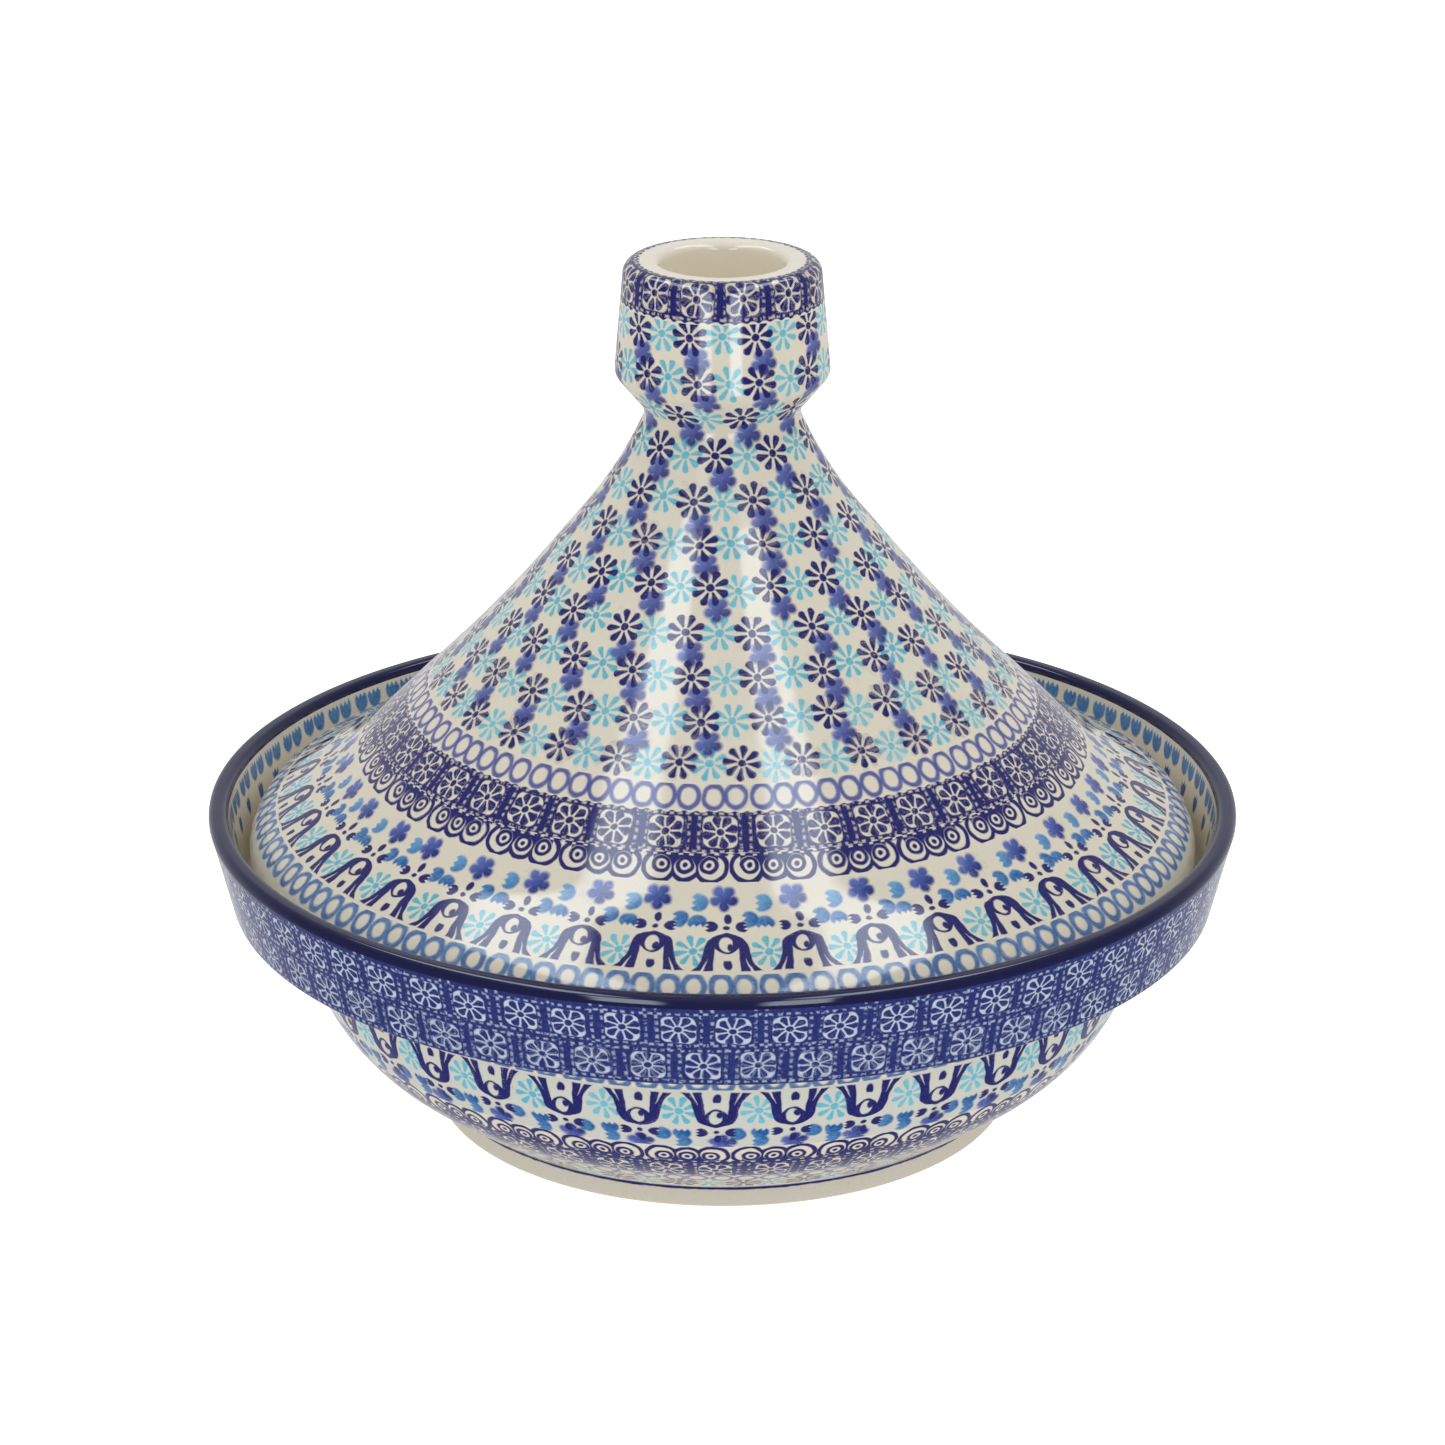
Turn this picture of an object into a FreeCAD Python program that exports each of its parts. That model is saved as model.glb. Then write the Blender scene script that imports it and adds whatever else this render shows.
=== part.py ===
import FreeCAD, Part
import math
import os

# Tagine pot in glazed stoneware, in two fired pieces: a footed dish with a stepped collar, and a
# conical lid with a cup-shaped knob. Millimetres, +Z up, origin at the centre of the foot's underside.
# Both pieces are turned forms, so each one is an outline in the XZ plane, spun about Z.

# Dish
FOOT_RADIUS = 94.4
FOOT_HEIGHT = 7.0
FOOT_RING_WIDTH = 8.5          # flat ring that the pot stands on
FOOT_RECESS = 4.5              # depth of the underside inside the ring
FOOT_FLARE = 0.4               # the foot's side leans out by this much
FOOT_EDGE_ROUNDING = 1.5
FOOT_RECESS_ROUNDING = 2.0
FOOT_RING_BEVEL = 1.5          # the ring's inner side leans in by this much

FLOOR_HEIGHT = 11.0            # inside bottom of the bowl
BOWL_BELLY_RADIUS = 133.3      # where the bowl's lower and upper slopes would meet
BOWL_BELLY_HEIGHT = 35.3
BOWL_BELLY_ROUNDING = 61.0
BOWL_INNER_BELLY_RADIUS = 124.0
BOWL_INNER_BELLY_ROUNDING = 61.0

STEP_RADIUS = 138.0            # outside corner where the bowl runs into the step
STEP_HEIGHT = 66.2
STEP_ROUNDING = 1.0
LEDGE_HEIGHT = 75.0            # seat for the lid, on top of the step
LEDGE_INNER_RADIUS = 139.0
LEDGE_ROUNDING = 5.0
LEDGE_LIP_RADIUS = 131.6
LEDGE_LIP_HEIGHT = 66.0
LEDGE_LIP_ROUNDING = 6.0

COLLAR_BASE_RADIUS = 159.0
COLLAR_BASE_HEIGHT = 72.6
COLLAR_BASE_WALL = 4.0
COLLAR_OUTER_ROUNDING = 2.0
COLLAR_INNER_ROUNDING = 2.5
RIM_WALL = 5.9
RIM_RADIUS = 165.9             # widest point of the pot
RIM_HEIGHT = 103.2
RIM_BEAD_HEIGHT = 5.6
RIM_BEAD_OVERHANG = 0.8
RIM_BEAD_BASE_ROUNDING = 5.0
RIM_BEAD_ROUNDING = 2.2
RIM_OUTER_ROUNDING = 2.0
RIM_INNER_ROUNDING = 2.4

# Lid
LID_WALL = 6.5
LID_FOOT_RADIUS = 152.4
LID_FOOT_WIDTH = 9.7
LID_FOOT_ROUNDING = 3.5
LID_FOOT_INNER_ROUNDING = 2.5
SHOULDER_RADIUS = 153.9        # where the steep edge and the shoulder's slope would meet
SHOULDER_HEIGHT = 96.0
SHOULDER_ROUNDING = 15.0
SHOULDER_INNER_ROUNDING = 9.0
FLARE_RADIUS = 123.7           # the cone flares out below this
FLARE_HEIGHT = 113.7
FLARE_ROUNDING = 45.0
FLARE_INNER_ROUNDING = 50.0
FLANK_RADIUS = 74.8
FLANK_HEIGHT = 161.6
FLANK_ROUNDING = 450.0
THROAT_RADIUS = 33.8
THROAT_HEIGHT = 211.5
THROAT_ROUNDING = 140.0
THROAT_INNER_ROUNDING = 60.0
HOLLOW_TOP_HEIGHT = 226.0      # top of the space inside the cone
HOLLOW_TOP_ROUNDING = 8.0

NECK_RADIUS = 24.0
NECK_HEIGHT = 232.0
NECK_ROUNDING = 4.5
KNOB_RADIUS = 34.1
KNOB_BASE_HEIGHT = 244.2
KNOB_BASE_ROUNDING = 4.5
KNOB_TOP_RADIUS = 30.9
KNOB_TOP_ROUNDING = 4.0
LID_TOP_HEIGHT = 280.0
CUP_RADIUS = 19.7
CUP_EDGE_ROUNDING = 2.5
CUP_FLOOR_RADIUS = 17.5
CUP_FLOOR_HEIGHT = 236.0
CUP_FLOOR_ROUNDING = 8.0


def point(corner):
    """The point of a corner given as (radius, height, rounding)."""
    return FreeCAD.Vector(corner[0], 0, corner[1])


def rounded_corner(before, corner, after):
    """Start, middle and end of the arc that rounds one corner."""
    tip = point(corner)
    back = (point(before) - tip).normalize()
    ahead = (point(after) - tip).normalize()
    half_angle = back.getAngle(ahead) / 2
    reach = corner[2] / math.tan(half_angle)
    depth = corner[2] / math.sin(half_angle) - corner[2]
    bisector = (back + ahead).normalize()
    return tip + back * reach, tip + bisector * depth, tip + ahead * reach


def turned_solid(corners):
    """Spins the closed outline through the corners about Z, with each corner rounded."""
    edges = []
    stops = []
    for i, corner in enumerate(corners):
        if corner[2] == 0:
            stops.append((point(corner), point(corner)))
            continue
        start, middle, end = rounded_corner(corners[i - 1], corner, corners[(i + 1) % len(corners)])
        stops.append((start, end))
        edges.append(Part.Arc(start, middle, end).toShape())
    for i, (start, _) in enumerate(stops):
        edges.append(Part.LineSegment(stops[i - 1][1], start).toShape())
    wire = Part.Wire(Part.__sortEdges__(edges))
    return Part.Face(wire).revolve(FreeCAD.Vector(0, 0, 0), FreeCAD.Vector(0, 0, 1), 360)


def inset(before, corner, after, wall, rounding):
    """The corner moved inwards so that both of its sides stay one wall thickness away."""
    inward = FreeCAD.Vector(-1, 0, 0)
    turn = FreeCAD.Vector(0, 1, 0)
    first = (point(corner) - point(before)).normalize().cross(turn)
    second = (point(after) - point(corner)).normalize().cross(turn)
    if first * inward < 0:
        first, second = -first, -second
    bisector = (first + second).normalize()
    moved = point(corner) + bisector * (wall / (bisector * first))
    return (moved.x, moved.z, rounding)


def base_dish():
    """Foot ring, bowl, step and collar in one piece."""
    bead_base = RIM_HEIGHT - RIM_BEAD_HEIGHT
    bead_middle = RIM_HEIGHT - RIM_BEAD_HEIGHT / 2
    outside = [
        (FOOT_RADIUS, 0, FOOT_EDGE_ROUNDING),
        (FOOT_RADIUS + FOOT_FLARE, FOOT_HEIGHT, 0),
        (BOWL_BELLY_RADIUS, BOWL_BELLY_HEIGHT, BOWL_BELLY_ROUNDING),
        (STEP_RADIUS, STEP_HEIGHT, STEP_ROUNDING),
        (COLLAR_BASE_RADIUS, COLLAR_BASE_HEIGHT, COLLAR_OUTER_ROUNDING),
        (RIM_RADIUS - RIM_BEAD_OVERHANG, bead_base, RIM_BEAD_BASE_ROUNDING),
        (RIM_RADIUS, bead_middle, RIM_BEAD_ROUNDING),
        (RIM_RADIUS - RIM_BEAD_OVERHANG / 2, RIM_HEIGHT, RIM_OUTER_ROUNDING),
    ]
    inside = [
        (RIM_RADIUS - RIM_WALL, RIM_HEIGHT, RIM_INNER_ROUNDING),
        (COLLAR_BASE_RADIUS - COLLAR_BASE_WALL, LEDGE_HEIGHT, COLLAR_INNER_ROUNDING),
        (LEDGE_INNER_RADIUS, LEDGE_HEIGHT, LEDGE_ROUNDING),
        (LEDGE_LIP_RADIUS, LEDGE_LIP_HEIGHT, LEDGE_LIP_ROUNDING),
        (BOWL_INNER_BELLY_RADIUS, FLOOR_HEIGHT, BOWL_INNER_BELLY_ROUNDING),
        (0, FLOOR_HEIGHT, 0),
    ]
    ring_radius = FOOT_RADIUS - FOOT_RING_WIDTH
    underside = [
        (0, FOOT_RECESS, 0),
        (ring_radius - FOOT_RING_BEVEL, FOOT_RECESS, FOOT_RECESS_ROUNDING),
        (ring_radius, 0, FOOT_EDGE_ROUNDING),
    ]
    return turned_solid(outside + inside + underside)


def lid():
    """Hollow cone with a steep edge that sits on the dish's ledge, and a knob hollowed into a cup."""
    knob = [
        (0, CUP_FLOOR_HEIGHT, 0),
        (CUP_FLOOR_RADIUS, CUP_FLOOR_HEIGHT, CUP_FLOOR_ROUNDING),
        (CUP_RADIUS, LID_TOP_HEIGHT, CUP_EDGE_ROUNDING),
        (KNOB_TOP_RADIUS, LID_TOP_HEIGHT, KNOB_TOP_ROUNDING),
        (KNOB_RADIUS, KNOB_BASE_HEIGHT, KNOB_BASE_ROUNDING),
    ]
    neck = (NECK_RADIUS, NECK_HEIGHT, NECK_ROUNDING)
    throat = (THROAT_RADIUS, THROAT_HEIGHT, THROAT_ROUNDING)
    flank = (FLANK_RADIUS, FLANK_HEIGHT, FLANK_ROUNDING)
    flare = (FLARE_RADIUS, FLARE_HEIGHT, FLARE_ROUNDING)
    shoulder = (SHOULDER_RADIUS, SHOULDER_HEIGHT, SHOULDER_ROUNDING)
    foot = (LID_FOOT_RADIUS, LEDGE_HEIGHT, LID_FOOT_ROUNDING)
    cone = [neck, throat, flank, flare, shoulder, foot]
    hollow = [
        (LID_FOOT_RADIUS - LID_FOOT_WIDTH, LEDGE_HEIGHT, LID_FOOT_INNER_ROUNDING),
        inset(flare, shoulder, foot, LID_WALL, SHOULDER_INNER_ROUNDING),
        inset(flank, flare, shoulder, LID_WALL, FLARE_INNER_ROUNDING),
        inset(throat, flank, flare, LID_WALL, FLANK_ROUNDING),
        inset(neck, throat, flank, LID_WALL, THROAT_INNER_ROUNDING),
        (NECK_RADIUS - LID_WALL, HOLLOW_TOP_HEIGHT, HOLLOW_TOP_ROUNDING),
        (0, HOLLOW_TOP_HEIGHT, 0),
    ]
    return turned_solid(knob + cone + hollow)


def main():
    os.makedirs("parts", exist_ok=True)
    for name, solid in (("base_dish", base_dish()), ("lid", lid())):
        if not solid.isValid() or solid.Volume <= 0:
            raise RuntimeError(name + " is not a valid solid")
        solid.exportStep("parts/" + name + ".step")
        box = solid.optimalBoundingBox()
        print(name, "volume", round(solid.Volume / 1000, 1), "cm3, height", round(box.ZMin, 2),
              "to", round(box.ZMax, 2), "radius", round(box.XMax, 2))


main()
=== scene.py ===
"""Looks of the tagine pot: a stoneware dish and its conical lid, sponge-stamped in blues under a clear glaze.

Both pieces are turned forms, so each is one closed mesh spun round Z on the CAD outline, in millimetres.
The decoration lies in bands. Each band has a pattern, which is a material, and a number of equal cells round
the pot. Every corner of a band's faces carries how high it lies from the band's middle, the number of cells
and where the first one starts, and the material works out the rest from the angle round the axis.
"""
import math
from collections import namedtuple

import bpy
import numpy as np
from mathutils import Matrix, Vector


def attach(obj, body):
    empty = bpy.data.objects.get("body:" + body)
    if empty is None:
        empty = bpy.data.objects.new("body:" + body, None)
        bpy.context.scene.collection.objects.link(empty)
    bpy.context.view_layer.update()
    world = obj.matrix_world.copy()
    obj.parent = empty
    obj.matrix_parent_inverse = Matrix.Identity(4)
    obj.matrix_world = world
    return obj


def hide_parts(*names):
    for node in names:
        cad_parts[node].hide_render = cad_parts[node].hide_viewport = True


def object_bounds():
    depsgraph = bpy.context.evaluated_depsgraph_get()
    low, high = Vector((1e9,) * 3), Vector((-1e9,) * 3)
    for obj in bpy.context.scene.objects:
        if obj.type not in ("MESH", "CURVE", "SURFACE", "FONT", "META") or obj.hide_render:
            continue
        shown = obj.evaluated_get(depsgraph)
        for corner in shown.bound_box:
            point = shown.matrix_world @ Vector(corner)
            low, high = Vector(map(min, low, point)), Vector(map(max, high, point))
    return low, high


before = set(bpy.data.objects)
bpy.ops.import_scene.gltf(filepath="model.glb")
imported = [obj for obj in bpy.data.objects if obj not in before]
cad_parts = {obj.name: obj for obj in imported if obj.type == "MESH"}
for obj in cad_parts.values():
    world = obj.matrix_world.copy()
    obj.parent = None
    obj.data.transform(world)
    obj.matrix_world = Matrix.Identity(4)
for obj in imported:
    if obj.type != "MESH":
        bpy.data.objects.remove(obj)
cad_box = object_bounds()

MM = 0.001
TURN = 2 * math.pi

# ------------------------------------------------------------------ outlines
# Each corner is (radius, height, rounding), in mm. The dish's outline runs from the inside over the rim to
# the foot, and the lid's from the cup in its knob over the outside to the inside.
FOOT_RADIUS = 94.4
FOOT_HEIGHT = 7.0
LEDGE_HEIGHT = 75.0
BOWL_FLOOR = 11.0
RIM_HEIGHT = 103.2
FOOT_RECESS = 4.5
DISH_OUTLINE = [
    (0, BOWL_FLOOR, 0),
    (124.0, BOWL_FLOOR, 61.0),             # the bowl's inside, one wide round
    (131.6, 66.0, 6.0),                    # the lip under the ledge
    (139.0, LEDGE_HEIGHT, 5.0),            # the ledge, from its inner edge
    (155.0, LEDGE_HEIGHT, 2.5),            # to the collar's inside
    (160.0, RIM_HEIGHT, 2.4),              # the rim
    (165.5, RIM_HEIGHT, 2.0),
    (165.9, 100.4, 2.2),                   # the rim's bead, the widest place on the pot
    (165.1, 97.6, 5.0),
    (159.0, 72.6, 2.0),                    # the collar's lower edge
    (138.0, 66.2, 1.0),                    # the step, where the bowl runs into it
    (133.3, 35.3, 61.0),                   # the bowl's outside
    (FOOT_RADIUS + 0.4, FOOT_HEIGHT, 0),   # the foot, which leans out a little
    (FOOT_RADIUS, 0, 1.5),
    (85.9, 0, 1.5),                        # the inner edge of the ring that the pot stands on
    (84.4, FOOT_RECESS, 2.0),
    (0, FOOT_RECESS, 0),
]
LID_WALL = 6.5
LID_TOP = 280.0
CUP_FLOOR = 236.0
HOLLOW_TOP = 226.0             # of the space inside the cone
NECK = (24.0, 232.0, 4.5)      # under the knob
THROAT = (33.8, 211.5, 140.0)  # where the cone runs up into the neck
FLANK = (74.8, 161.6, 450.0)
FLARE = (123.7, 113.7, 45.0)   # where the cone flares out
SHOULDER = (153.9, 96.0, 15.0)
LID_FOOT = (152.4, LEDGE_HEIGHT, 3.5)


def inset(before, corner, after, rounding):
    """The corner moved inwards so that both of its sides stay one wall thickness away."""
    first = np.subtract(corner, before)[:2]
    second = np.subtract(after, corner)[:2]
    first = np.array([first[1], -first[0]]) / np.hypot(*first)
    second = np.array([second[1], -second[0]]) / np.hypot(*second)
    bisector = (first + second) / np.hypot(*(first + second))
    radius, height = np.array(corner[:2]) + bisector * LID_WALL / (bisector @ first)
    return (radius, height, rounding)


LID_OUTLINE = [
    (0, CUP_FLOOR, 0),
    (17.5, CUP_FLOOR, 8.0),
    (19.7, LID_TOP, 2.5),                  # the cup's edge
    (30.9, LID_TOP, 4.0),                  # the knob's upper edge
    (34.1, 244.2, 4.5),                    # the knob's widest place
    NECK,
    THROAT,
    FLANK,
    FLARE,
    SHOULDER,
    LID_FOOT,
    (142.7, LEDGE_HEIGHT, 2.5),            # the foot's inner edge
    inset(FLARE, SHOULDER, LID_FOOT, 9.0),
    inset(FLANK, FLARE, SHOULDER, 50.0),
    inset(THROAT, FLANK, FLARE, 450.0),
    inset(NECK, THROAT, FLANK, 60.0),
    (17.5, HOLLOW_TOP, 8.0),
    (0, HOLLOW_TOP, 0),
]

# ------------------------------------------------------------------ bands: where each pattern lies
# Start, end and middle are in mm along the outline from the piece's zero point. The count is the number of
# cells round the pot, the place is where the first one starts, in cells, and the way is -1 for a band that
# was stamped with the piece upside down.
Band = namedtuple("Band", "pattern start end middle count place way")
LID_ZERO = (19.3, 274.0)       # on the cup's wall, inside the knob
DAISY_PITCH = 14.3
DAISY_ROWS = 11
DAISY_FIRST = 31.0
DAISY_SPACING = 19.7
DAISY_SHIFT = 0.37             # how far each row is turned from the one above, in cells
LID_BANDS = [
    Band("cup", -40.0, 11.2, 0.0, 1, 0.0, 1),
    Band("knob_tiles", 11.2, 27.2, 19.2, 13, 0.55, 1),
    Band("violet_rings", 180.6, 189.4, 184.8, 86, 0.2, 1),
    Band("tiles", 189.4, 203.2, 196.4, 42, 0.55, 1),
    Band("lace", 203.2, 212.6, 207.2, 27, 0.42, 1),
    Band("arches", 212.6, 245.2, 230.3, 38, 0.43, 1),
    Band("steel_rings", 245.2, 254.6, 249.6, 121, 0.3, 1),
]
DAISY_EDGES = (27.2, 180.6)
LID_BARE = (277.0, 288.0)      # the foot's underside, wiped clean of glaze

DISH_ZERO = (155.0, 75.0)      # where the collar rises from the ledge, inside
DISH_BANDS = [
    Band("petals", 2.0, 25.6, 14.0, 68, 0.0, -1),
    Band("navy", 25.6, 35.8, 30.0, 1, 0.0, 1),
    Band("collar_tiles", 35.8, 50.1, 43.4, 64, 0.3, 1),
    Band("collar_tiles", 50.1, 64.6, 56.8, 62, 0.85, 1),
    Band("steel_rings", 86.5, 91.2, 87.6, 112, 0.0, -1),
    Band("bowl_arches", 91.0, 115.4, 106.0, 36, 0.4, -1),
    Band("lace", 115.4, 126.4, 121.2, 30, 0.1, -1),
    Band("tiles", 126.4, 139.6, 132.8, 46, 0.4, -1),
    Band("violet_rings", 139.6, 148.4, 144.0, 92, 0.0, -1),
    Band("daisies", 148.4, 157.6, 153.0, 33, 0.3, -1),
    Band("line", 157.6, 162.8, 161.3, 1, 0.0, 1),
]
DISH_BARE = (162.8, math.inf)  # from here on, over the foot and the underside, the clay is bare

# ------------------------------------------------------------------ colours, as sRGB from 0 to 255
CREAM = (235, 226, 206)
# The cup's cream is lighter than the pot's own cream: painted light, standing in for light reaching into the
# cup.
CUP_CREAM_PAINTED_LIGHT = (250, 241, 222)
# The bowl's cream is darker than the pot's own cream: painted shade on the bowl's downward-facing flank.
BOWL_CREAM_PAINTED_SHADE = (216, 215, 205)
CLAY = (232, 224, 207)
NAVY = (33, 30, 104)
NAVY_LIGHT = (64, 74, 152)
COLLAR_NAVY = (36, 42, 106)
COLLAR_LIGHT = (66, 90, 168)
COLLAR_CREAM = (198, 209, 221)
TURQUOISE = (92, 186, 208)
TURQUOISE_PALE = (152, 214, 224)
SPONGE_LIGHT = (94, 114, 188)
SPONGE_DARK = (36, 48, 130)
STEEL_LIGHT = (116, 172, 214)
STEEL_DARK = (30, 90, 160)
VIOLET = (84, 104, 176)
RIM_NAVY = (22, 24, 68)


def linear(colour):
    """An sRGB colour as the linear RGBA that shader nodes take."""
    shares = [channel / 255 for channel in colour]
    return [s / 12.92 if s <= 0.04045 else ((s + 0.055) / 1.055) ** 2.4 for s in shares] + [1.0]


# ------------------------------------------------------------------ shader arithmetic
class Field:
    """A number that varies over a surface: the output of a shader node, used in ordinary arithmetic."""

    def __init__(self, socket):
        self.socket = socket

    def __add__(self, other):
        return calculate("ADD", self, other)

    def __sub__(self, other):
        return calculate("SUBTRACT", self, other)

    def __rsub__(self, other):
        return calculate("SUBTRACT", other, self)

    def __mul__(self, other):
        return calculate("MULTIPLY", self, other)

    def __truediv__(self, other):
        return calculate("DIVIDE", self, other)

    __radd__ = __add__
    __rmul__ = __mul__


def calculate(operation, *values, clamp=False):
    """One arithmetic node. Each value is a field or a plain number."""
    tree = next(value for value in values if isinstance(value, Field)).socket.id_data
    node = tree.nodes.new("ShaderNodeMath")
    node.operation = operation
    node.use_clamp = clamp
    for socket, value in zip(node.inputs, values):
        if isinstance(value, Field):
            tree.links.new(value.socket, socket)
        else:
            socket.default_value = value
    return Field(node.outputs[0])


def smaller(*fields):
    """The least of several distances, which is the union of their shapes."""
    least = fields[0]
    for field in fields[1:]:
        least = calculate("MINIMUM", least, field)
    return least


def larger(*fields):
    """The greatest of several distances, which is where all their shapes overlap."""
    greatest = fields[0]
    for field in fields[1:]:
        greatest = calculate("MAXIMUM", greatest, field)
    return greatest


def size_of(field):
    """The field without its sign."""
    return calculate("ABSOLUTE", field)


def length(x, y):
    """The distance from the middle."""
    return calculate("SQRT", calculate("MULTIPLY_ADD", x, x, y * y))


def share(field):
    """The field held between 0 and 1."""
    return calculate("MULTIPLY", field, 1.0, clamp=True)


def ramp(field, start, end):
    """0 up to the start, 1 from the end on, and a straight rise between them."""
    return share((field - start) / (end - start))


def repeat(field, period):
    """How far the field lies from the nearest whole number of periods, signed."""
    return calculate("WRAP", field, period / 2, -period / 2)


def inside(distance, blur=0.34):
    """1 inside a shape and 0 outside, from the distance to its edge in mm, with sponged paint's soft edge."""
    return calculate("MULTIPLY_ADD", distance, -1 / blur, 0.5, clamp=True)


def turned(x, y, degrees):
    """The axes turned by an angle, so that a shape drawn in them leans by it."""
    cosine = math.cos(math.radians(degrees))
    sine = math.sin(math.radians(degrees))
    return x * cosine + y * sine, y * cosine - x * sine


# ------------------------------------------------------------------ shapes: distances in mm, negative inside
TULIP_CAP = 0.6                # how far a tulip's round end lies from its middle, as a share of its depth
TULIP_TEETH = 0.36             # and how far its teeth reach on the other side
ARCH_HEIGHT = 13.9
ARCH_SHOULDER = 6.6            # half width that the bell grows to
ARCH_FLARE = 1.1               # how far the legs reach out beyond that, 10 mm below the top
ARCH_CROWN = 7.8               # from the top down to the opening between the legs
ARCH_OPENING = (2.9, 0.1)      # half width of the opening at the level of the top, and what each mm down adds
ARCH_SLIT = (9.4, 1.7, 0.42)   # how far down a leg's slit starts, its line's place at the top, and its lean
BELL_ROUNDNESS = 0.7           # how fast the bell grows from its top


def ellipse(x, y, half_width, half_height):
    return (length(x / half_width, y / half_height) - 1) * min(half_width, half_height)


def rounded_square(x, y, half_width, half_height, rounding):
    across = larger(size_of(x) - (half_width - rounding), 0)
    up = larger(size_of(y) - (half_height - rounding), 0)
    return length(across, up) - rounding


def nearest_petal(x, y, petals, lean):
    """The distance from the middle, and how much of it lies along and aside of the nearest petal's axis."""
    reach = length(x, y)
    swing = repeat(calculate("ARCTAN2", y, x) + lean, TURN / petals)
    return reach, reach * calculate("COSINE", swing), reach * calculate("SINE", swing)


def daisy(x, y, petals, lean, root=2.0, tip=4.75, thin=0.38, thick=1.24, dot=1.3):
    """Drop-shaped petals round a dot. The lean turns it, in radians."""
    reach, along, aside = nearest_petal(x, y, petals, lean)
    fullness = ramp(along, root, tip)
    petal = length(along - (fullness * (tip - root) + root), aside) - (fullness * (thick - thin) + thin)
    return smaller(petal, reach - dot)


def sponge_flower(x, y, lobes=5, lean=0.3, lobe_reach=2.65, lobe_size=1.75, middle_size=2.4):
    """A blot with round lobes, 8.8 mm across."""
    reach, along, aside = nearest_petal(x, y, lobes, lean)
    return smaller(length(along - lobe_reach, aside) - lobe_size, reach - middle_size)


def tulip(x, y, half_width, depth, teeth=3, bite=0.22):
    """A round cap on the right with teeth on the left. The bite is their length, as a share of the depth."""
    tooth = 2 * half_width / teeth
    zigzag = size_of(repeat(y, tooth)) / tooth * 2
    cap = ellipse(x, y, depth * TULIP_CAP, half_width)
    return larger(cap, (zigzag * bite - TULIP_TEETH) * depth - x)


def ring(x, y, half_width, half_height, stroke):
    return size_of(ellipse(x, y, half_width, half_height)) - stroke / 2


def arch(x, y):
    """A bell round a small curled oval, on two legs that flare out and split. The top is at y = 0."""
    depth = 0.0 - y
    out = size_of(x)
    dome = 1.0 - calculate("POWER", math.e, larger(depth, 0) * -BELL_ROUNDNESS)
    flare = calculate("POWER", larger(depth, 0) * 0.1, 4.0)
    body = larger(out - (dome * ARCH_SHOULDER + flare * ARCH_FLARE), depth - ARCH_HEIGHT, y)
    half_opening = depth * ARCH_OPENING[1] + ARCH_OPENING[0]
    opening = larger(out - half_opening, (ARCH_CROWN - out * out * 0.18) - depth)
    curl = ellipse(x - 1.0, y + 5.3, half_width=1.0, half_height=1.35)
    oval = larger(ellipse(x + 0.2, y + 4.3, half_width=2.0, half_height=2.7), 0.0 - curl)
    slit_top, slit_place, slit_lean = ARCH_SLIT
    beside_slit = size_of(out - (depth * slit_lean + slit_place)) - (depth - slit_top) * 0.1
    holes = smaller(opening, oval, larger(beside_slit, slit_top - depth))
    return larger(body, 0.0 - holes)


# ------------------------------------------------------------------ where a shaded point lies
WOBBLE_SCALE = 260.0           # features of the uneven stamping per metre


class Place:
    """The shaded point's turn round the axis, the girth there in mm, and two wobbles for uneven stamping."""

    def __init__(self, tree):
        self.tree = tree
        coordinates = tree.nodes.new("ShaderNodeTexCoord").outputs["Object"]
        self.point = coordinates
        axes = tree.nodes.new("ShaderNodeSeparateXYZ")
        tree.links.new(coordinates, axes.inputs[0])
        x, y = Field(axes.outputs[0]), Field(axes.outputs[1])
        self.turn = calculate("ARCTAN2", x, 0.0 - y) / TURN + 0.5
        self.girth = length(x, y) * (TURN / MM)
        red, green, _ = self.noise(WOBBLE_SCALE)
        self.wobble = (red - 0.5, green - 0.5)

    def noise(self, scale, detail=1.0):
        """Three smooth noises with features of about 1 / scale metres."""
        node = self.tree.nodes.new("ShaderNodeTexNoise")
        node.inputs["Scale"].default_value = scale
        node.inputs["Detail"].default_value = detail
        self.tree.links.new(self.point, node.inputs["Vector"])
        return parts(self.tree, node.outputs["Color"])

    def row(self, name):
        """Height in the row in mm, number of cells and first cell's place, as the mesh carries them."""
        node = self.tree.nodes.new("ShaderNodeAttribute")
        node.attribute_name = name
        return parts(self.tree, node.outputs["Vector"])

    def cell(self, row, layer, phase=0.0, drift=(0.0, 0.0), per_cell=1.0):
        """Coordinates from the middle of the nearest cell, in mm, and the cell's three random numbers.

        The layer tells one stamp's random numbers from another's. The phase moves the cells on by a share of
        one, the drift is the greatest sideways and upright scatter in mm, and per_cell splits or joins cells.
        """
        height, count, start = row
        count = count * per_cell
        way = self.turn * count + start + phase
        number = calculate("FLOOR", way)
        across = (way - number - 0.5) * (self.girth / count)
        random = self.random(calculate("FLOORED_MODULO", number, count), count + start, layer)
        x = across + (random[0] - 0.5) * drift[0] + self.wobble[0]
        y = height + (random[1] - 0.5) * drift[1] + self.wobble[1]
        return x, y, random

    def random(self, number, seed, layer):
        """Three fixed random numbers for one cell of one layer of one row."""
        joined = self.tree.nodes.new("ShaderNodeCombineXYZ")
        self.tree.links.new(number.socket, joined.inputs[0])
        self.tree.links.new(seed.socket, joined.inputs[1])
        joined.inputs[2].default_value = layer
        node = self.tree.nodes.new("ShaderNodeTexWhiteNoise")
        self.tree.links.new(joined.outputs[0], node.inputs["Vector"])
        return parts(self.tree, node.outputs["Color"])


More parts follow.
